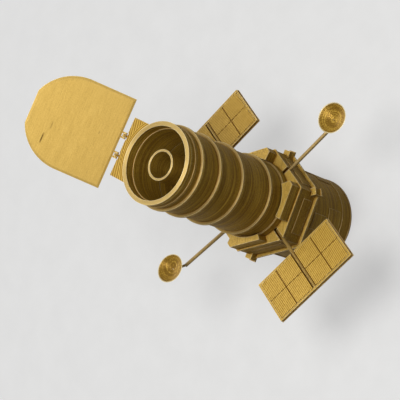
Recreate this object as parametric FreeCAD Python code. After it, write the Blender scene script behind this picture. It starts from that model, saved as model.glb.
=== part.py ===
import FreeCAD, Part
import math
import os

# Printed desk model of a space telescope, standing on its flat aft end.
# +Z runs along the tube towards the aperture. The origin is the centre of the aft face.
# +X and -X carry the solar arrays, +Y and -Y carry the antennas.

V = FreeCAD.Vector
half_turn_angle = 180.0
full_turn_angle = 360.0

# Running fits and seats
pin_clearance = 0.08
mast_clearance = 0.08
side_clearance = 0.20
seat_clearance = 0.30
overrun = 1.0

# Aft shroud on its bulkhead, with raised access panels that repeat four times round it
shroud_inset = 0.5
shroud_top = 41.0
bulkhead_thickness = 1.4
bulkhead_relief = 0.3
bulkhead_edge = 0.4
aft_band_relief = 0.5
aft_band_top = 9.3
access_panel_relief = 0.45
access_panel_count = 4
access_panel_angle = 30.5
wide_panel_bottom = 11.6
wide_panel_top = 22.8
wide_panel_half_angle = 23.0
narrow_panel_bottom = 25.0
narrow_panel_top = 36.2
narrow_panel_half_angle = 10.5

# Equipment section, a hexagonal prism between a flange and a thin forward plate
hex_sides = 6
section_height = 16.1
plate_relief = 0.5
plate_thickness = 1.0
flange_relief = 1.8
flange_thickness = 1.1
bay_door_half_width = 9.7
bay_door_bottom = 2.8
bay_door_top = 10.0
bay_door_relief = 0.35
boss_width = 4.0
boss_height = 5.4
boss_relief = 0.5
boss_foot_relief = 0.7

# Four bay blocks on the forward plate, each wrapped round a corner of the hexagon
block_height = 7.2
block_width = 2.85
block_setback = 0.8
block_gap = 0.25
block_middle_angle = 42.0
block_half_angle = 23.5

# Forward tube
tube_radius = 20.6
tube_wall = 2.2
foot_relief = 0.9
foot_height = 4.9
ring_relief = 1.4
ring_thickness = 1.2
ring_d_height = 17.2
ring_c_height = 41.4
tube_length = 58.8
tube_floor_thickness = 2.0

# Light shield with the aperture rim and the wider bore behind it
shield_length = 25.4
ring_a_height = 15.5
step_height = 20.2
step_relief = 0.4
rim_height = 2.0
rim_relief = 0.5
rim_bore_relief = 0.4
rim_bore_depth = 4.8

# Central baffle
baffle_radius = 7.9
baffle_wall = 1.1
baffle_drop = 3.9
baffle_foot_relief = 2.3
baffle_foot_height = 1.6

# Door and hinge: one lug on the bracket between two ears on the door, at two places
door_angle = 205.0
door_open_angle = 134.6
door_length = 46.4
door_arc_centre = 23.8
door_arc_radius = 24.2
door_thickness = 1.7
door_chamfer = 1.2
door_chamfer_depth = 0.4
hinge_drop = 0.5
hinge_gap = 1.55
hinge_reach = 4.9
bracket_half_width = 15.7
bracket_edge_gap = 0.8
bracket_thickness = 1.6
hinge_spacing = 10.6
lug_width = 1.2
ear_width = 0.9
knuckle_radius = 1.05
pin_radius = 0.45

# Masts
mast_radius = 1.0
mast_drop = 2.45
mast_root_radius = 12.0
mast_channel_radius = 20.0

# Solar arrays: a panel on a thin back plate, eight cells, and the mast in an open slot
panel_inner = 38.1
panel_width = 25.35
panel_half_length = 26.15
panel_thickness = 2.2
back_lip = 0.25
back_thickness = 0.4
frame_width = 1.1
frame_drop = 0.15
groove_depth = 0.5
column_groove = 0.65
row_groove = 0.35
edge_groove = 0.15
cell_columns = 4
cell_rows = 2
slot_half_width = 1.3

# Antennas: mast, inclined post and dish
dish_radius = 7.9
dish_depth = 2.5
dish_wall = 0.7
dish_edge = 0.4
dish_1_reach = 62.0
dish_2_reach = 63.5
dish_1_rise = 6.3
dish_2_rise = 8.1
antenna_mast_end = 58.0
post_radius = 0.7
dish_1_tilt_angle = 2.0
dish_1_lean_angle = 10.0
dish_2_tilt_angle = 9.5
dish_2_lean_angle = 125.0
antenna_1_angle = 90.0
antenna_2_angle = 265.5

# Levels and radii that follow from the sizes above
section_top = shroud_top + section_height
block_top = section_top + block_height
tube_top = section_top + tube_length
shield_top = tube_top + shield_length
tube_bore_radius = tube_radius - tube_wall
foot_radius = tube_radius + foot_relief
ring_radius = tube_radius + ring_relief
rim_radius = tube_radius + rim_relief
rim_bore_radius = tube_bore_radius + rim_bore_relief
block_inner_radius = foot_radius + block_gap
block_apothem = block_inner_radius + block_width
plate_apothem = block_apothem + block_setback
section_apothem = plate_apothem - plate_relief
flange_apothem = section_apothem + flange_relief
shroud_radius = section_apothem - shroud_inset
aft_band_radius = shroud_radius + aft_band_relief
bulkhead_radius = aft_band_radius + bulkhead_relief
baffle_bore_radius = baffle_radius - baffle_wall
mast_level = section_top - mast_drop
socket_radius = mast_radius + mast_clearance
hinge_level = shield_top + seat_clearance + hinge_drop
hinge_radius = rim_radius + hinge_reach
bracket_edge = hinge_radius - bracket_edge_gap
fork_half_width = lug_width / 2 + side_clearance + ear_width

block_angles = [
    block_middle_angle,
    half_turn_angle - block_middle_angle,
    half_turn_angle + block_middle_angle,
    full_turn_angle - block_middle_angle,
]
array_angles = [0.0, half_turn_angle]
antenna_angles = [antenna_1_angle, antenna_2_angle]
hinge_places = [-hinge_spacing / 2, hinge_spacing / 2]

os.makedirs("parts", exist_ok=True)


def save(shape, name):
    shape.exportStep("parts/" + name + ".step")


def turned(shape, angle):
    copy = shape.copy()
    copy.rotate(V(0, 0, 0), V(0, 0, 1), angle)
    return copy


def repeated(shape, count, first_angle):
    return [turned(shape, first_angle + full_turn_angle * k / count) for k in range(count)]


def disc(radius, bottom, top):
    return Part.makeCylinder(radius, top - bottom, V(0, 0, bottom))


def box_between(x0, x1, y0, y1, z0, z1):
    return Part.makeBox(x1 - x0, y1 - y0, z1 - z0, V(x0, y0, z0))


def revolved(points):
    outline = Part.makePolygon([V(r, 0, z) for r, z in points + [points[0]]])
    return Part.Face(outline).revolve(V(0, 0, 0), V(0, 0, 1), full_turn_angle)


def hexagon(apothem, bottom, top):
    corner = apothem / math.cos(math.pi / hex_sides)
    turns = [2 * math.pi * k / hex_sides for k in range(hex_sides)]
    corners = [V(corner * math.cos(t), corner * math.sin(t), bottom) for t in turns]
    face = Part.Face(Part.makePolygon(corners + [corners[0]]))
    return face.extrude(V(0, 0, top - bottom))


def radial_rod(radius, start, end, level):
    return Part.makeCylinder(radius, end - start, V(start, 0, level), V(1, 0, 0))


def wedge(reach, bottom, top, half_angle):
    # A triangular prism that opens from the axis to both sides of +X
    spread = reach * math.tan(math.radians(half_angle))
    corners = [V(0, 0, bottom), V(reach, -spread, bottom), V(reach, spread, bottom)]
    return Part.Face(Part.makePolygon(corners + [corners[0]])).extrude(V(0, 0, top - bottom))


# Aft shroud: a closed drum with a wider aft band, on a bulkhead that shows as a thin lip
def make_aft_bulkhead():
    edge = bulkhead_radius - bulkhead_edge
    return revolved([
        (0, 0),
        (edge, 0),
        (bulkhead_radius, bulkhead_edge),
        (bulkhead_radius, bulkhead_thickness),
        (0, bulkhead_thickness),
    ])


def make_access_panel(bottom, top, half_angle):
    outer = shroud_radius + access_panel_relief
    band = disc(outer, bottom, top).cut(disc(shroud_radius - overrun, bottom, top))
    return band.common(wedge(outer + overrun, bottom, top, half_angle))


def make_aft_shroud():
    drum = revolved([
        (0, bulkhead_thickness),
        (aft_band_radius, bulkhead_thickness),
        (aft_band_radius, aft_band_top),
        (shroud_radius, aft_band_top),
        (shroud_radius, shroud_top),
        (0, shroud_top),
    ])
    wide = make_access_panel(wide_panel_bottom, wide_panel_top, wide_panel_half_angle)
    narrow = make_access_panel(narrow_panel_bottom, narrow_panel_top, narrow_panel_half_angle)
    for panel in (wide, narrow):
        drum = drum.fuse(repeated(panel, access_panel_count, access_panel_angle))
    return drum


# Equipment section: hexagonal body with raised bay doors, and open channels for the four masts
def mast_channel():
    outside = flange_apothem / math.cos(math.pi / hex_sides) + overrun
    socket = radial_rod(socket_radius, mast_root_radius - mast_clearance, outside, mast_level)
    channel = box_between(mast_channel_radius, outside, -socket_radius, socket_radius,
                          mast_level, section_top + overrun)
    return socket.fuse(channel)


def make_corner_boss():
    corner = flange_apothem / math.cos(math.pi / hex_sides) + boss_relief
    half = boss_width / 2
    column = box_between(section_apothem, corner, -half, half, shroud_top, shroud_top + boss_height)
    foot = box_between(section_apothem, corner + boss_foot_relief, -half, half,
                       shroud_top, shroud_top + flange_thickness)
    return column.fuse(foot)


def make_equipment_section():
    body = hexagon(section_apothem, shroud_top, section_top)
    body = body.fuse(hexagon(flange_apothem, shroud_top, shroud_top + flange_thickness))
    body = body.fuse(hexagon(plate_apothem, section_top - plate_thickness, section_top))
    bay_door = box_between(section_apothem - overrun, section_apothem + bay_door_relief,
                           -bay_door_half_width, bay_door_half_width,
                           shroud_top + bay_door_bottom, shroud_top + bay_door_top)
    body = body.fuse(repeated(bay_door, hex_sides, half_turn_angle / hex_sides))
    bosses = repeated(make_corner_boss(), hex_sides, 0)
    # The two corners on the X axis carry the solar arrays and have no boss
    body = body.fuse([boss for k, boss in enumerate(bosses) if k % (hex_sides // 2)])
    for angle in array_angles + antenna_angles:
        body = body.cut(turned(mast_channel(), angle))
    return body


def make_bay_block(angle):
    reach = 2 * block_apothem
    sector = turned(wedge(reach, section_top, block_top, block_half_angle), angle)
    block = hexagon(block_apothem, section_top, block_top).common(sector)
    return block.cut(disc(block_inner_radius, section_top - overrun, block_top + overrun))


# Forward tube, its floor, the light shield and the central baffle
def raised_band(top, radius):
    return [
        (tube_radius, top - ring_thickness),
        (radius, top - ring_thickness),
        (radius, top),
        (tube_radius, top),
    ]


def make_forward_tube():
    outline = [
        (tube_bore_radius, section_top),
        (foot_radius, section_top),
        (foot_radius, section_top + foot_height),
        (tube_radius, section_top + foot_height),
    ]
    outline += raised_band(section_top + ring_d_height, ring_radius)
    outline += raised_band(section_top + ring_c_height, ring_radius)
    outline += [(tube_radius, tube_top), (tube_bore_radius, tube_top)]
    return revolved(outline)


def make_light_shield():
    outline = [
        (tube_bore_radius, tube_top),
        (ring_radius, tube_top),
        (ring_radius, tube_top + ring_thickness),
        (tube_radius, tube_top + ring_thickness),
    ]
    outline += raised_band(tube_top + ring_a_height, ring_radius)
    outline += raised_band(tube_top + step_height, tube_radius + step_relief)
    outline += [
        (tube_radius, shield_top - rim_height),
        (rim_radius, shield_top - rim_height),
        (rim_radius, shield_top),
        (rim_bore_radius, shield_top),
        (rim_bore_radius, shield_top - rim_bore_depth),
        (tube_bore_radius, shield_top - rim_bore_depth),
    ]
    return revolved(outline)


def make_tube_floor():
    return disc(tube_bore_radius - side_clearance, section_top, section_top + tube_floor_thickness)


def make_central_baffle():
    floor = section_top + tube_floor_thickness
    top = shield_top - baffle_drop
    foot = baffle_radius + baffle_foot_relief
    return revolved([
        (baffle_bore_radius, floor),
        (foot, floor),
        (foot, floor + baffle_foot_height),
        (baffle_radius, floor + baffle_foot_height),
        (baffle_radius, top),
        (baffle_bore_radius, top),
    ])


# Door hinge: a bracket on the rim with two lugs, two pins, and a door with two forks.
# It is drawn with the hinge on +X and then turned to its place.
def hinge_rod(radius, place, half_width):
    end = V(hinge_radius, place - half_width, hinge_level)
    return Part.makeCylinder(radius, 2 * half_width, end, V(0, 1, 0))


def make_bracket_lug(place, bottom):
    half = lug_width / 2
    root = hinge_radius - knuckle_radius - side_clearance
    neck = box_between(root - overrun, hinge_radius, place - half, place + half, bottom, shield_top)
    post = box_between(hinge_radius - knuckle_radius, hinge_radius + knuckle_radius,
                       place - half, place + half, bottom, hinge_level)
    return neck.fuse([post, hinge_rod(knuckle_radius, place, half)])


def make_hinge_bracket():
    bottom = shield_top - bracket_thickness
    plate = box_between(0, bracket_edge, -bracket_half_width, bracket_half_width, bottom, shield_top)
    plate = plate.cut(disc(rim_radius, bottom - overrun, shield_top + overrun))
    notch_root = hinge_radius - knuckle_radius - side_clearance
    notch_half = fork_half_width + side_clearance
    for place in hinge_places:
        plate = plate.cut(box_between(notch_root, bracket_edge + overrun, place - notch_half,
                                      place + notch_half, bottom - overrun, shield_top + overrun))
        plate = plate.fuse(make_bracket_lug(place, bottom))
        plate = plate.cut(hinge_rod(pin_radius, place, lug_width / 2 + overrun))
    return turned(plate.removeSplitter(), door_angle)


def make_hinge_pins():
    pins = [hinge_rod(pin_radius, place, fork_half_width) for place in hinge_places]
    return turned(Part.makeCompound(pins), door_angle)


def opened(shape):
    copy = shape.copy()
    copy.rotate(V(hinge_radius, 0, hinge_level), V(0, 1, 0), door_open_angle)
    return turned(copy, door_angle)


def door_outline(inset, level):
    # Drawn closed: straight sides from the hinge edge, a round end, cut flat at its tip
    edge = hinge_radius - hinge_gap
    centre = edge - door_arc_centre
    radius = door_arc_radius - inset
    flat_x = edge - door_length + inset
    flat_y = math.sqrt(radius ** 2 - (centre - flat_x) ** 2)
    near = edge - inset
    middle = (math.pi / 2 + math.asin(flat_y / radius)) / 2
    arc_x = centre - radius * math.cos(middle)
    arc_y = radius * math.sin(middle)
    return Part.Wire([
        Part.makeLine(V(near, -radius, level), V(near, radius, level)),
        Part.makeLine(V(near, radius, level), V(centre, radius, level)),
        Part.Arc(V(centre, radius, level), V(arc_x, arc_y, level), V(flat_x, flat_y, level)).toShape(),
        Part.makeLine(V(flat_x, flat_y, level), V(flat_x, -flat_y, level)),
        Part.Arc(V(flat_x, -flat_y, level), V(arc_x, -arc_y, level), V(centre, -radius, level)).toShape(),
        Part.makeLine(V(centre, -radius, level), V(near, -radius, level)),
    ])


def make_door_ear(low, bottom, top):
    middle = low + ear_width / 2
    eye = hinge_rod(knuckle_radius, middle, ear_width / 2)
    arm = box_between(hinge_radius - hinge_gap - overrun, hinge_radius, low, low + ear_width, bottom, top)
    return arm.fuse(eye)


def make_door():
    inner_face = hinge_level - hinge_drop
    shoulder = inner_face + door_chamfer_depth
    slope = Part.makeLoft([door_outline(door_chamfer, inner_face), door_outline(0, shoulder)], True, True)
    plate = Part.Face(door_outline(0, shoulder)).extrude(V(0, 0, door_thickness - door_chamfer_depth))
    plate = plate.fuse(slope)
    arm_top = inner_face + door_thickness - door_chamfer_depth
    for place in hinge_places:
        for low in (place - fork_half_width, place + fork_half_width - ear_width):
            plate = plate.fuse(make_door_ear(low, shoulder, arm_top))
        plate = plate.cut(hinge_rod(pin_radius + pin_clearance, place, fork_half_width + overrun))
    return opened(plate.removeSplitter())


# Solar arrays: mast, framed panel and its cells
def make_array_mast(angle):
    end = panel_inner + panel_width - frame_width
    return turned(radial_rod(mast_radius, mast_root_radius, end, mast_level), angle)


def make_array_frame(angle):
    x0, x1 = panel_inner, panel_inner + panel_width
    top = mast_level + mast_radius
    bottom = top - panel_thickness
    half = panel_half_length
    frame = box_between(x0, x1, -half, half, bottom, top - frame_drop)
    back = box_between(x0 - back_lip, x1 + back_lip, -half - back_lip, half + back_lip,
                       bottom, bottom + back_thickness)
    pocket = box_between(x0 + frame_width, x1 - frame_width, -half + frame_width, half - frame_width,
                         top - groove_depth, top + overrun)
    slot = box_between(x0 - back_lip - overrun, x1 - frame_width, -slot_half_width, slot_half_width,
                       mast_level - mast_radius, top + overrun)
    return turned(frame.fuse(back).cut(pocket).cut(slot), angle)


def make_array_cells(angle):
    top = mast_level + mast_radius
    x0 = panel_inner + frame_width + edge_groove
    x1 = panel_inner + panel_width - frame_width - edge_groove
    near = slot_half_width
    far = panel_half_length - frame_width - edge_groove
    columns = cell_columns // 2
    width = (far - near - column_groove * (columns - 1)) / columns
    depth = (x1 - x0 - row_groove * (cell_rows - 1)) / cell_rows
    tiles = []
    for side in (-1, 1):
        for column in range(columns):
            start = near + column * (width + column_groove)
            low, high = sorted((side * start, side * (start + width)))
            for row in range(cell_rows):
                x = x0 + row * (depth + row_groove)
                tiles.append(box_between(x, x + depth, low, high, top - groove_depth, top))
    return turned(Part.makeCompound(tiles), angle)


# Antennas: mast, post and dish
def make_antenna_mast(angle):
    return turned(radial_rod(mast_radius, mast_root_radius, antenna_mast_end, mast_level), angle)


def make_antenna_post(angle, reach, rise, dish):
    foot = V(antenna_mast_end - post_radius, 0, mast_level)
    head = V(reach, 0, mast_level + rise - dish_depth - dish_wall / 2)
    span = head - foot
    post = Part.makeCylinder(post_radius, span.Length, foot, span)
    return turned(post, angle).cut(make_antenna_mast(angle)).cut(dish)


def cap_arc(rim, depth, bottom):
    # Half the outline of a spherical cap, from its apex on the axis out to its rim
    radius = (rim ** 2 + depth ** 2) / (2 * depth)
    half_angle = math.asin(rim / radius)
    points = [V(radius * math.sin(turn), 0, bottom + radius * (1 - math.cos(turn)))
              for turn in (0, half_angle / 2, half_angle)]
    return Part.Arc(*points).toShape(), points[0], points[2]


def make_antenna_dish(angle, reach, rise, tilt, direction):
    # A shallow bowl with a flat rim, tilted about the apex of its inner face
    inner, inner_apex, inner_rim = cap_arc(dish_radius, dish_depth, 0)
    outer, outer_apex, outer_rim = cap_arc(dish_radius + dish_edge, dish_depth + dish_wall, -dish_wall)
    outline = Part.Wire(Part.__sortEdges__([
        inner,
        Part.makeLine(inner_rim, outer_rim),
        outer,
        Part.makeLine(outer_apex, inner_apex),
    ]))
    bowl = Part.Face(outline).revolve(V(0, 0, 0), V(0, 0, 1), full_turn_angle)
    lean = math.radians(direction)
    bowl.rotate(V(0, 0, 0), V(-math.sin(lean), math.cos(lean), 0), tilt)
    place = turned(Part.Vertex(reach, 0, 0), angle).Point
    bowl.translate(V(place.x, place.y, mast_level + rise - dish_depth))
    return bowl


save(make_aft_bulkhead(), "aft_bulkhead")
save(make_aft_shroud(), "aft_shroud")
save(make_equipment_section(), "equipment_section")
for number, angle in enumerate(block_angles, 1):
    save(make_bay_block(angle), "bay_block_" + str(number))
save(make_forward_tube(), "forward_tube")
save(make_light_shield(), "light_shield")
save(make_tube_floor(), "tube_floor")
save(make_central_baffle(), "central_baffle")
save(make_hinge_bracket(), "hinge_bracket")
save(make_hinge_pins(), "hinge_pins")
save(make_door(), "aperture_door")
for number, angle in enumerate(array_angles, 1):
    save(make_array_mast(angle), "array_mast_" + str(number))
    save(make_array_frame(angle), "array_frame_" + str(number))
    save(make_array_cells(angle), "array_cells_" + str(number))
antennas = [
    (antenna_1_angle, dish_1_reach, dish_1_rise, dish_1_tilt_angle, dish_1_lean_angle),
    (antenna_2_angle, dish_2_reach, dish_2_rise, dish_2_tilt_angle, dish_2_lean_angle),
]
for number, (angle, reach, rise, tilt, lean) in enumerate(antennas, 1):
    dish = make_antenna_dish(angle, reach, rise, tilt, lean)
    save(make_antenna_mast(angle), "antenna_mast_" + str(number))
    save(make_antenna_post(angle, reach, rise, dish), "antenna_post_" + str(number))
    save(dish, "antenna_dish_" + str(number))
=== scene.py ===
import math

import bpy
from mathutils import Matrix, Vector


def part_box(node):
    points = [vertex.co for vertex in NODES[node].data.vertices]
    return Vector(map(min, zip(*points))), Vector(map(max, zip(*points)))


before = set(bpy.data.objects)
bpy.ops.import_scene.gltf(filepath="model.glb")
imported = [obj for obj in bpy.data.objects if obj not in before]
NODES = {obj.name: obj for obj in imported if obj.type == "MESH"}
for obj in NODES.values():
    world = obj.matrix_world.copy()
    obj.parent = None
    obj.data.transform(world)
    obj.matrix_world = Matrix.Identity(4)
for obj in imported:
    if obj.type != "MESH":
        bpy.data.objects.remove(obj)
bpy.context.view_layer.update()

MM = 0.001
UP = Vector((0.0, 0.0, 1.0))
WHITE = (1.0, 1.0, 1.0)

# The photograph's view: a long lens from above, rolled so that the tube points left
CAMERA_PLACE = Vector((356.1, 205.6, 576.3)) * MM
CAMERA_LOOK = Vector((-0.55837, -0.34045, -0.75652))
CAMERA_RIGHT = Vector((0.43876, 0.65274, -0.61759))
CAMERA_LENS = 110.65
SENSOR_WIDTH = 36.0
CLIP_START = 10.0 * MM

# One soft lamp nearly overhead, a broad weak fill from the door's side, and a weak pale room
LAMP_TARGET = Vector((0.0, 0.0, 80.0)) * MM
KEY_PLACE = Vector((44.0, 32.0, 495.0)) * MM
KEY_SIZE = 0.22
KEY_POWER = 1.76
FILL_PLACE = Vector((-866.0, -500.0, 430.0)) * MM
FILL_ANGLE = math.radians(41.0)
FILL_POWER = 1.42
ROOM_COLOUR = (1.0, 0.999, 0.995)
ROOM_LIGHT = 0.09
ROOM_SEEN = 0.72

# Pale paper, which looks pale but throws little light back at the object
FLOOR_SIZE = 6.0
FLOOR_SEEN = (0.27, 0.268, 0.262)
FLOOR_BOUNCE = (0.12, 0.117, 0.112)
FLOOR_ROUGHNESS = 0.9
FLOOR_GLOW = 0.50
FLOOR_FAR_GLOW = 0.652
FLOOR_GRAIN_SCALE = 60.0
FLOOR_GRAIN_DETAIL = 4.0
FLOOR_GRAIN_SHARE = 0.04

# Silk gold filament, from the dark between lines to the painted highlight on an edge
GOLD_DARK = (0.19, 0.100, 0.010)
GOLD_MIDDLE = (0.43, 0.262, 0.036)
GOLD_LIGHT = (0.56, 0.36, 0.075)
GOLD_EDGE_HIGHLIGHT = (0.76, 0.66, 0.40)
# A pale gold, for paler pieces and for the painted highlights on tops and dish rims
GOLD_PALE_AND_HIGHLIGHT = (0.50, 0.40, 0.21)
# Painted shade: the tint that narrow gaps are multiplied by
GAP_SHADE_TINT = (0.64, 0.43, 0.17)
MARK_BROWN = (0.10, 0.055, 0.008)
SHEEN_TINT = (1.0, 0.80, 0.45)
GOLD_STOPS = [(0.12, GOLD_DARK), (0.50, GOLD_MIDDLE), (0.88, GOLD_LIGHT)]
MIDDLE_LEVEL = 0.5

# The shine of the filament, which is less on walls, and stretched where the lines run round an axis
METALLIC = 0.25
SPECULAR = 0.28
WALL_SPECULAR = 0.10
SILK_ROUGHNESS = 0.42
DOOR_ROUGHNESS = 0.56
CELL_ROUGHNESS = 0.48
DISH_ROUGHNESS = 0.34
ROUGHNESS_SPREAD = 0.06
ANISOTROPY = 0.8
ACROSS_LINES = 0.25

# How much lighter or darker than the middle gold each kind of piece is, how pale, and the painted shade
# on walls and painted highlight on tops
BODY_TONE = 0.02
# Painted shade: walls are darker than tops, as the overhead lamp lights them less
WALL_PAINTED_SHADE = -0.24
HINGE_TONE = 0.05
DOOR_TONE = 0.08
ARRAY_MAST_TONE = -0.25
ANTENNA_MAST_TONE = -0.38
# Painted highlight: tops are mixed toward the pale gold, as they face the lamp
ROUND_TOP_HIGHLIGHT = 0.45
PRISM_TOP_HIGHLIGHT = 0.1
DOOR_PALENESS = 0.16
ARRAY_MAST_PALENESS = 0.15
ANTENNA_MAST_PALENESS = 0.30

# Each array and antenna: its number, the tone of its cells and the tone of its dish; the second array's
# darker cells and frame are painted shade, for the lamp light that reaches them less
WINGS = (("1", 0.0, -0.26), ("2", -0.14, -0.36))

# Distances between the lines, in millimetres
LAYER_PITCH = 0.25
LINE_PITCH = 0.45
PAIR_PITCH = 1.0
RING_PITCH = 1.1

# How slowly each pattern changes along its lines, and how sharp a dish's stair-steps are
ALONG_SHARE = 0.06
CELL_ALONG_SHARE = 0.16
LAYER_ALONG_SHARE = 0.018
STEP_SHARPNESS = 3.0

# How strongly single lines, bands, broad patches, grain and the gaps between lines show
WALL_WEIGHTS = (0.70, 1.05, 0.22, 0.60, 0.0)
PRISM_WEIGHTS = (0.70, 0.85, 0.35, 1.10, 0.0)
DISH_WEIGHTS = (1.20, 1.10, 0.50, 1.50, 0.0)
FLAT_WEIGHTS = (0.40, 0.40, 0.30, 0.50, 0.0)
RING_WEIGHTS = (0.60, 0.60, 0.30, 0.80, 0.90)
CELL_WEIGHTS = (0.45, 0.15, 0.12, 0.95, 0.42)
DOOR_WEIGHTS = (0.45, 0.15, 0.25, 0.60, 0.0)

# Noise per millimetre: how fine it is, and its detail
LINE_DETAIL = 1.0
BAND_NOISE = (0.85, 3.0)
BROAD_NOISE = (0.16, 2.0)
GRAIN_NOISE = (1.7, 3.0)
NOISE_MIDDLE = 0.5
NOISE_RANGE = (0.3, 0.7)

# Directions of the extrusion lines, in the part's frame at rest
HINGE_ANGLE = 205.0
DOOR_SLOPE = Vector((-0.63637, -0.29674, 0.71203))
CELL_HATCH_ANGLE = 20.0
TOP_HATCH_ANGLE = 45.0
BRACKET_HATCH_ANGLE = HINGE_ANGLE + 45.0
BRACKET_RINGS_END = 23.4
ACROSS_X = Vector((0.0, 0.7, 0.7))
ACROSS_Y = Vector((0.7, 0.0, 0.7))

# How upright a normal is where a wall ends and a top starts
TOP_RANGE = (0.80, 0.90)

# Fine dark marks on the door's inner face: across and along the lines, half width, half length, depth
DOOR_MARKS = (
    (156.7, 12.3, 0.36, 2.4, 0.95),
    (154.6, 4.6, 0.32, 1.9, 0.45),
    (131.6, -1.6, 0.32, 0.7, 0.40),
)
MARK_FADE = (0.5, 1.3)

# Groove floors between cells: how near their height counts as floor, and how much painted shade darkens
# them
GROOVE_RANGE = (0.1, 0.2)
GROOVE_SHADE = 0.9

# The painted highlight of a pale ring on a dish's rim, in millimetres in from its edge
RIM_START = 0.55
RIM_END = 0.30
RIM_HIGHLIGHT = 0.9

# Painted highlight on rounded edges, where they would catch light, and painted shade in narrow gaps,
# which hold little
EDGE_RADIUS = 0.42 * MM
EDGE_SAMPLES = 4
EDGE_RANGE = (0.995, 0.86)
EDGE_LIGHT = 0.85
GAP_REACH = 1.3 * MM
GAP_SAMPLES = 6
GAP_RANGE = (0.25, 0.95)

# The fine ridge of each line
LINE_RIDGE = 0.035 * MM
RIDGE_STRENGTH = 0.8
BAND_RIDGE = 1.5
GRAIN_RIDGE = 0.6

# Where a Mix node keeps its two values and its result, for each type of data
MIX_SOCKETS = {"FLOAT": (2, 3, 0), "VECTOR": (4, 5, 1), "RGBA": (6, 7, 2)}


def unit(angle):
    turn = math.radians(angle)
    return Vector((math.cos(turn), math.sin(turn), 0.0))


def opaque(colour):
    return (*colour, 1.0)


# A material's node tree, with short calls for the nodes that the gold and the floor need
class Net:
    def __init__(self, name):
        self.material = bpy.data.materials.new(name)
        self.material.use_nodes = True
        self.tree = self.material.node_tree
        self.tree.nodes.clear()

    def add(self, kind, **settings):
        node = self.tree.nodes.new("ShaderNode" + kind)
        for name, value in settings.items():
            setattr(node, name, value)
        return node

    def feed(self, socket, value):
        if isinstance(value, bpy.types.NodeSocket):
            self.tree.links.new(value, socket)
        else:
            socket.default_value = value

    def feed_all(self, node, values):
        for socket, value in zip(node.inputs, values):
            self.feed(socket, value)

    def math(self, operation, *values):
        node = self.add("Math", operation=operation)
        self.feed_all(node, values)
        return node.outputs[0]

    def vector(self, operation, *values):
        node = self.add("VectorMath", operation=operation)
        self.feed_all(node, values)
        result = "Value" if operation in ("DOT_PRODUCT", "LENGTH") else "Vector"
        return node.outputs[result]

    def scale(self, vector, factor):
        node = self.add("VectorMath", operation="SCALE")
        self.feed(node.inputs["Vector"], vector)
        self.feed(node.inputs["Scale"], factor)
        return node.outputs["Vector"]

    def combine(self, x, y, z):
        node = self.add("CombineXYZ")
        self.feed_all(node, (x, y, z))
        return node.outputs[0]

    def remap(self, value, limits, to_low, to_high):
        node = self.add("MapRange")
        self.feed_all(node, (value, *limits, to_low, to_high))
        return node.outputs["Result"]

    def noise(self, vector, scale, detail):
        node = self.add("TexNoise")
        self.feed(node.inputs["Vector"], vector)
        self.feed(node.inputs["Scale"], scale)
        self.feed(node.inputs["Detail"], detail)
        return node.outputs["Fac"]

    def mix(self, kind, share, first, second, blend="MIX"):
        node = self.add("Mix", data_type=kind, blend_type=blend)
        first_place, second_place, result_place = MIX_SOCKETS[kind]
        self.feed(node.inputs[0], share)
        self.feed(node.inputs[first_place], first)
        self.feed(node.inputs[second_place], second)
        return node.outputs[result_place]

    def ramp(self, value, stops):
        node = self.add("ValToRGB")
        elements = node.color_ramp.elements
        while len(elements) < len(stops):
            elements.new(0.5)
        for element, (place, colour) in zip(elements, stops):
            element.position = place
            element.color = opaque(colour)
        self.feed(node.inputs["Fac"], value)
        return node.outputs["Color"]

    def finish(self, shader):
        output = self.add("OutputMaterial")
        self.feed(output.inputs["Surface"], shader.outputs["BSDF"])
        return self.material


# Each set of lines gives the place across them, in millimetres,
# and a point that changes fast across them and slowly along them
def straight_lines(net, place, across_axis, along_axis, along_share=ALONG_SHARE):
    across = net.vector("DOT_PRODUCT", place, across_axis)
    along = net.vector("DOT_PRODUCT", place, along_axis)
    return across, net.combine(across, net.math("MULTIPLY", along, along_share), 0.0)


def hatch(net, place, angle, along_share=ALONG_SHARE):
    return straight_lines(net, place, unit(angle), unit(angle + 90.0), along_share)


def layers(net, place):
    # Flat layers stacked along Z, for a piece printed standing
    point = net.vector("MULTIPLY", place, Vector((LAYER_ALONG_SHARE, LAYER_ALONG_SHARE, 1.0)))
    return net.vector("DOT_PRODUCT", place, UP), point


def rings(net, place):
    # Perimeter lines round the tube's axis, as they show on a flat end
    flat = net.vector("MULTIPLY", place, Vector((1.0, 1.0, 0.0)))
    radius = net.vector("LENGTH", flat)
    slow = net.scale(flat, ALONG_SHARE)
    return radius, net.vector("ADD", slow, net.combine(radius, 0.0, 0.0))


def steps(net, place, centre):
    # A bowl's stair-steps: layers across its own upright axis
    offset = net.vector("SUBTRACT", place, centre)
    height = net.vector("DOT_PRODUCT", offset, UP)
    slow = net.scale(offset, ALONG_SHARE)
    sharp = net.combine(net.math("MULTIPLY", height, STEP_SHARPNESS), 0.0, 0.0)
    return height, net.vector("ADD", slow, sharp)


def choose(net, share, first, second):
    return net.mix("FLOAT", share, first[0], second[0]), net.mix("VECTOR", share, first[1], second[1])


def facing_up(net):
    # 1 on faces that look along the piece's own +Z or -Z, 0 on its sides
    normal = net.add("TexCoord").outputs["Normal"]
    tilt = net.math("ABSOLUTE", net.vector("DOT_PRODUCT", normal, UP))
    return net.remap(tilt, TOP_RANGE, 0.0, 1.0)


def layers_and(net, place, top_lines):
    # Layers on the sides, and the given lines on the top
    return choose(net, facing_up(net), layers(net, place), top_lines)


def tube_lines(net, place):
    return layers_and(net, place, rings(net, place))


def block_lines(net, place):
    return layers_and(net, place, hatch(net, place, TOP_HATCH_ANGLE))


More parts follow.
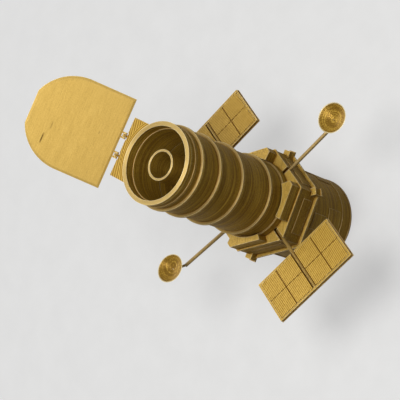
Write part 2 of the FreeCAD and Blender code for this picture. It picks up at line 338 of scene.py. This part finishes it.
def bracket_lines(net, place):
    # Rings near the tube, and a hatch on the plate outside them
    radius, ring_point = rings(net, place)
    outside = net.math("GREATER_THAN", radius, BRACKET_RINGS_END)
    plate = hatch(net, place, BRACKET_HATCH_ANGLE)
    return layers_and(net, place, choose(net, outside, (radius, ring_point), plate))


def door_lines(net, place):
    return straight_lines(net, place, DOOR_SLOPE, unit(HINGE_ANGLE + 90.0))


def cell_lines(net, place):
    return layers_and(net, place, hatch(net, place, CELL_HATCH_ANGLE, CELL_ALONG_SHARE))


def frame_lines(net, place):
    return layers_and(net, place, hatch(net, place, 0.0))


def lines_along_x(net, place):
    return straight_lines(net, place, ACROSS_X, unit(0.0))


def lines_along_y(net, place):
    return straight_lines(net, place, ACROSS_Y, unit(90.0))


def dish_rim(node):
    # The middle of the dish's box and its radius, in millimetres
    low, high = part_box(node)
    return (low + high) / 2.0 / MM, (high.x - low.x) / 2.0 / MM


def dish_steps(node):
    centre, _ = dish_rim(node)

    def lines(net, place):
        return steps(net, place, centre)
    return lines


def door_marks(net, place):
    across = net.vector("DOT_PRODUCT", place, DOOR_SLOPE)
    along = net.vector("DOT_PRODUCT", place, unit(HINGE_ANGLE + 90.0))
    total = 0.0
    for mark_across, mark_along, half_width, half_length, depth in DOOR_MARKS:
        aside = net.math("ABSOLUTE", net.math("SUBTRACT", across, mark_across))
        ahead = net.math("ABSOLUTE", net.math("SUBTRACT", along, mark_along))
        aside = net.math("DIVIDE", aside, half_width)
        ahead = net.math("DIVIDE", ahead, half_length)
        away = net.math("MAXIMUM", aside, ahead)
        total = net.math("MAXIMUM", total, net.remap(away, MARK_FADE, depth, 0.0))
    return total


def paint_groove_shade(net, place, level, floor_height):
    height = net.vector("DOT_PRODUCT", place, UP)
    away = net.math("ABSOLUTE", net.math("SUBTRACT", height, floor_height))
    return net.math("SUBTRACT", level, net.remap(away, GROOVE_RANGE, GROOVE_SHADE, 0.0))


def pale_rim_highlight(net, place, rim):
    centre, radius = rim
    reach = net.vector("LENGTH", net.vector("SUBTRACT", place, centre))
    return net.remap(reach, (radius - RIM_START, radius - RIM_END), 0.0, RIM_HIGHLIGHT)


# Painted highlight: edges are mixed toward a pale gold where the rounded normal leans away. Painted
# shade: occluded gaps are tinted darker
def paint_edge_highlights_and_gap_shade(net, colour, edge_light):
    rounded = net.add("Bevel")
    rounded.samples = EDGE_SAMPLES
    net.feed(rounded.inputs["Radius"], EDGE_RADIUS)
    plain = net.add("NewGeometry").outputs["Normal"]
    agree = net.vector("DOT_PRODUCT", rounded.outputs["Normal"], plain)
    gap = net.add("AmbientOcclusion", samples=GAP_SAMPLES)
    net.feed(gap.inputs["Distance"], GAP_REACH)
    shade = net.remap(gap.outputs["AO"], GAP_RANGE, 0.0, 1.0)
    edge = net.math("MULTIPLY", net.remap(agree, EDGE_RANGE, 0.0, edge_light), shade)
    colour = net.mix("RGBA", edge, colour, opaque(GOLD_EDGE_HIGHLIGHT))
    gap_shaded = net.mix("RGBA", 1.0, colour, opaque(GAP_SHADE_TINT), "MULTIPLY")
    return net.mix("RGBA", shade, gap_shaded, colour)


def line_ridges(net, wave, bands, grain):
    height = net.math("MULTIPLY_ADD", bands, BAND_RIDGE, wave)
    height = net.math("MULTIPLY_ADD", grain, GRAIN_RIDGE, height)
    bump = net.add("Bump")
    net.feed(bump.inputs["Strength"], RIDGE_STRENGTH)
    net.feed(bump.inputs["Distance"], LINE_RIDGE)
    net.feed(bump.inputs["Height"], height)
    return bump.outputs["Normal"]


# Silk gold filament: tones along the lines, a fine ridge for each, painted highlights on edges, painted
# shade in gaps and on walls, and painted highlights on tops
def gold(name, pattern, pitch, weights, tone=0.0, wall_shade=0.0, roughness=SILK_ROUGHNESS,
         specular=SPECULAR, edge_light=EDGE_LIGHT, paleness=0.0, top_highlight=0.0,
         turned=False, marked=False, floor_height=None, rim=None):
    net = Net(name)
    place = net.scale(net.add("TexCoord").outputs["Object"], 1.0 / MM)
    across, point = pattern(net, place)
    top = facing_up(net)

    lines = net.math("DIVIDE", across, pitch)
    wave = net.math("SINE", net.math("MULTIPLY", lines, 2.0 * math.pi))
    single = net.noise(point, 1.0 / pitch, LINE_DETAIL)
    bands = net.noise(point, *BAND_NOISE)
    broad = net.noise(point, *BROAD_NOISE)
    grain = net.noise(place, *GRAIN_NOISE)
    # Walls take the painted shade, tops none
    level = net.math("MULTIPLY_ADD", top, -wall_shade, MIDDLE_LEVEL + tone + wall_shade)
    centred = [net.math("SUBTRACT", noise, NOISE_MIDDLE) for noise in (single, bands, broad, grain)]
    for source, weight in zip((*centred, wave), weights):
        level = net.math("MULTIPLY_ADD", source, weight, level)
    # Painted shade on the groove floors
    if floor_height is not None:
        level = paint_groove_shade(net, place, level, floor_height)

    colour = net.ramp(level, GOLD_STOPS)
    # The piece's own paleness everywhere, with painted highlight on tops and on a dish's rim
    pale = net.math("MULTIPLY_ADD", top, top_highlight, paleness)
    if rim is not None:
        pale = net.math("MAXIMUM", pale, pale_rim_highlight(net, place, rim))
    colour = net.mix("RGBA", pale, colour, opaque(GOLD_PALE_AND_HIGHLIGHT))
    if marked:
        colour = net.mix("RGBA", door_marks(net, place), colour, opaque(MARK_BROWN))
    colour = paint_edge_highlights_and_gap_shade(net, colour, edge_light)

    shader = net.add("BsdfPrincipled")
    smooth = roughness - ROUGHNESS_SPREAD
    rough = roughness + ROUGHNESS_SPREAD
    net.feed(shader.inputs["Base Color"], colour)
    net.feed(shader.inputs["Metallic"], METALLIC)
    net.feed(shader.inputs["Specular IOR Level"], specular)
    net.feed(shader.inputs["Specular Tint"], opaque(SHEEN_TINT))
    net.feed(shader.inputs["Roughness"], net.remap(bands, NOISE_RANGE, smooth, rough))
    net.feed(shader.inputs["Normal"], line_ridges(net, wave, bands, grain))
    if turned:
        # Lines that run round an axis stretch each highlight across themselves
        around = net.add("Tangent", direction_type="RADIAL", axis="Z")
        net.feed(shader.inputs["Anisotropic"], ANISOTROPY)
        net.feed(shader.inputs["Anisotropic Rotation"], ACROSS_LINES)
        net.feed(shader.inputs["Tangent"], around.outputs["Tangent"])
    return net.finish(shader)


def assign(material, *names):
    for name in names:
        mesh = NODES[name].data
        mesh.materials.clear()
        mesh.materials.append(material)


def dress_body():
    assign(gold("gold_round", tube_lines, LAYER_PITCH, WALL_WEIGHTS, BODY_TONE, WALL_PAINTED_SHADE,
                specular=WALL_SPECULAR, top_highlight=ROUND_TOP_HIGHLIGHT, turned=True),
           "aft_bulkhead", "aft_shroud", "forward_tube", "light_shield", "tube_floor", "central_baffle")
    assign(gold("gold_prism", block_lines, LAYER_PITCH, PRISM_WEIGHTS, BODY_TONE, WALL_PAINTED_SHADE,
                specular=WALL_SPECULAR, top_highlight=PRISM_TOP_HIGHLIGHT),
           "equipment_section", "bay_block_1", "bay_block_2", "bay_block_3", "bay_block_4")
    assign(gold("gold_bracket", bracket_lines, RING_PITCH, RING_WEIGHTS, HINGE_TONE), "hinge_bracket")
    assign(gold("gold_pin", lines_along_x, LAYER_PITCH, FLAT_WEIGHTS, HINGE_TONE), "hinge_pins")
    assign(gold("gold_door", door_lines, LINE_PITCH, DOOR_WEIGHTS, DOOR_TONE,
                roughness=DOOR_ROUGHNESS, paleness=DOOR_PALENESS, marked=True), "aperture_door")


def dress_wings():
    array_masts = gold("gold_array_masts", lines_along_x, LAYER_PITCH, FLAT_WEIGHTS,
                       ARRAY_MAST_TONE, paleness=ARRAY_MAST_PALENESS)
    antenna_masts = gold("gold_antenna_masts", lines_along_y, LAYER_PITCH, FLAT_WEIGHTS,
                         ANTENNA_MAST_TONE, paleness=ANTENNA_MAST_PALENESS)
    for number, cell_tone, dish_tone in WINGS:
        cells = "array_cells_" + number
        assign(gold("gold_" + cells, cell_lines, PAIR_PITCH, CELL_WEIGHTS, cell_tone,
                    roughness=CELL_ROUGHNESS, edge_light=0.0), cells)
        # The cells stand on the floor of the grooves between them
        groove_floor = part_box(cells)[0].z / MM
        assign(gold("gold_borders_" + number, frame_lines, LINE_PITCH, FLAT_WEIGHTS, cell_tone,
                    floor_height=groove_floor), "array_frame_" + number)
        assign(array_masts, "array_mast_" + number)
        assign(antenna_masts, "antenna_mast_" + number, "antenna_post_" + number)
        dish = "antenna_dish_" + number
        assign(gold("gold_dish_" + number, dish_steps(dish), LAYER_PITCH, DISH_WEIGHTS, dish_tone,
                    roughness=DISH_ROUGHNESS, turned=True, rim=dish_rim(dish)), dish)


def make_camera():
    data = bpy.data.cameras.new("photo_camera")
    data.lens = CAMERA_LENS
    data.sensor_width = SENSOR_WIDTH
    data.sensor_fit = "HORIZONTAL"
    data.clip_start = CLIP_START
    camera = bpy.data.objects.new("photo_camera", data)
    bpy.context.scene.collection.objects.link(camera)
    back = -CAMERA_LOOK.normalized()
    right = (CAMERA_RIGHT - back * CAMERA_RIGHT.dot(back)).normalized()
    up = back.cross(right)
    turn = Matrix((right, up, back)).transposed().to_4x4()
    camera.matrix_world = Matrix.Translation(CAMERA_PLACE) @ turn
    bpy.context.scene.camera = camera


def place_lamp(data, place, power):
    data.energy = power
    lamp = bpy.data.objects.new(data.name, data)
    lamp.visible_camera = False
    bpy.context.scene.collection.objects.link(lamp)
    look = (LAMP_TARGET - place).to_track_quat("-Z", "Y")
    lamp.matrix_world = Matrix.Translation(place) @ look.to_matrix().to_4x4()


def make_lamps():
    key = bpy.data.lights.new("key", "AREA")
    key.shape = "DISK"
    key.size = KEY_SIZE
    place_lamp(key, KEY_PLACE, KEY_POWER)
    # The fill is as broad as a sky, so it lights the floor evenly and its light has no edge there
    fill = bpy.data.lights.new("fill", "SUN")
    fill.angle = FILL_ANGLE
    place_lamp(fill, FILL_PLACE, FILL_POWER)


def seen_directly(tree):
    # 1 for what the camera, a reflection or a clear surface sees, 0 for light that falls on the object
    path = tree.nodes.new("ShaderNodeLightPath")
    total = path.outputs["Is Camera Ray"]
    for name in ("Is Glossy Ray", "Is Transmission Ray"):
        either = tree.nodes.new("ShaderNodeMath")
        either.operation = "MAXIMUM"
        tree.links.new(total, either.inputs[0])
        tree.links.new(path.outputs[name], either.inputs[1])
        total = either.outputs[0]
    return total


def make_room():
    world = bpy.data.worlds.new("room")
    world.use_nodes = True
    tree = world.node_tree
    background = tree.nodes["Background"]
    background.inputs["Color"].default_value = opaque(ROOM_COLOUR)
    strength = tree.nodes.new("ShaderNodeMapRange")
    tree.links.new(seen_directly(tree), strength.inputs["Value"])
    strength.inputs["To Min"].default_value = ROOM_LIGHT
    strength.inputs["To Max"].default_value = ROOM_SEEN
    tree.links.new(strength.outputs["Result"], background.inputs["Strength"])
    bpy.context.scene.world = world


def floor_material():
    net = Net("floor_paper")
    place = net.add("TexCoord").outputs["Object"]
    seen = seen_directly(net.tree)
    grain = net.noise(place, FLOOR_GRAIN_SCALE, FLOOR_GRAIN_DETAIL)
    speckle = net.remap(grain, NOISE_RANGE, 0.0, FLOOR_GRAIN_SHARE)
    paper = net.mix("RGBA", speckle, opaque(FLOOR_SEEN), opaque(WHITE))

    # It glows more where the key lamp reaches it less, so that it stays even up to the horizon
    lamp_height_squared = KEY_PLACE.z ** 2
    distance_squared = net.vector("DOT_PRODUCT", place, place)
    lit = net.math("DIVIDE", lamp_height_squared, net.math("ADD", distance_squared, lamp_height_squared))
    lit = net.math("MULTIPLY", lit, lit)
    glow = net.math("MULTIPLY_ADD", lit, FLOOR_GLOW - FLOOR_FAR_GLOW, FLOOR_FAR_GLOW)

    shader = net.add("BsdfPrincipled")
    net.feed(shader.inputs["Base Color"], net.mix("RGBA", seen, opaque(FLOOR_BOUNCE), paper))
    net.feed(shader.inputs["Roughness"], FLOOR_ROUGHNESS)
    net.feed(shader.inputs["Specular IOR Level"], 0.0)
    net.feed(shader.inputs["Emission Color"], opaque(WHITE))
    net.feed(shader.inputs["Emission Strength"], net.math("MULTIPLY", seen, glow))
    return net.finish(shader)


def make_floor():
    half = FLOOR_SIZE / 2
    corners = [(-half, -half, 0), (half, -half, 0), (half, half, 0), (-half, half, 0)]
    mesh = bpy.data.meshes.new("floor")
    mesh.from_pydata(corners, [], [(0, 1, 2, 3)])
    floor = bpy.data.objects.new("floor", mesh)
    bpy.context.scene.collection.objects.link(floor)
    mesh.materials.append(floor_material())


make_camera()
dress_body()
dress_wings()
make_room()
make_floor()
make_lamps()
bpy.context.scene.view_settings.view_transform = "Standard"
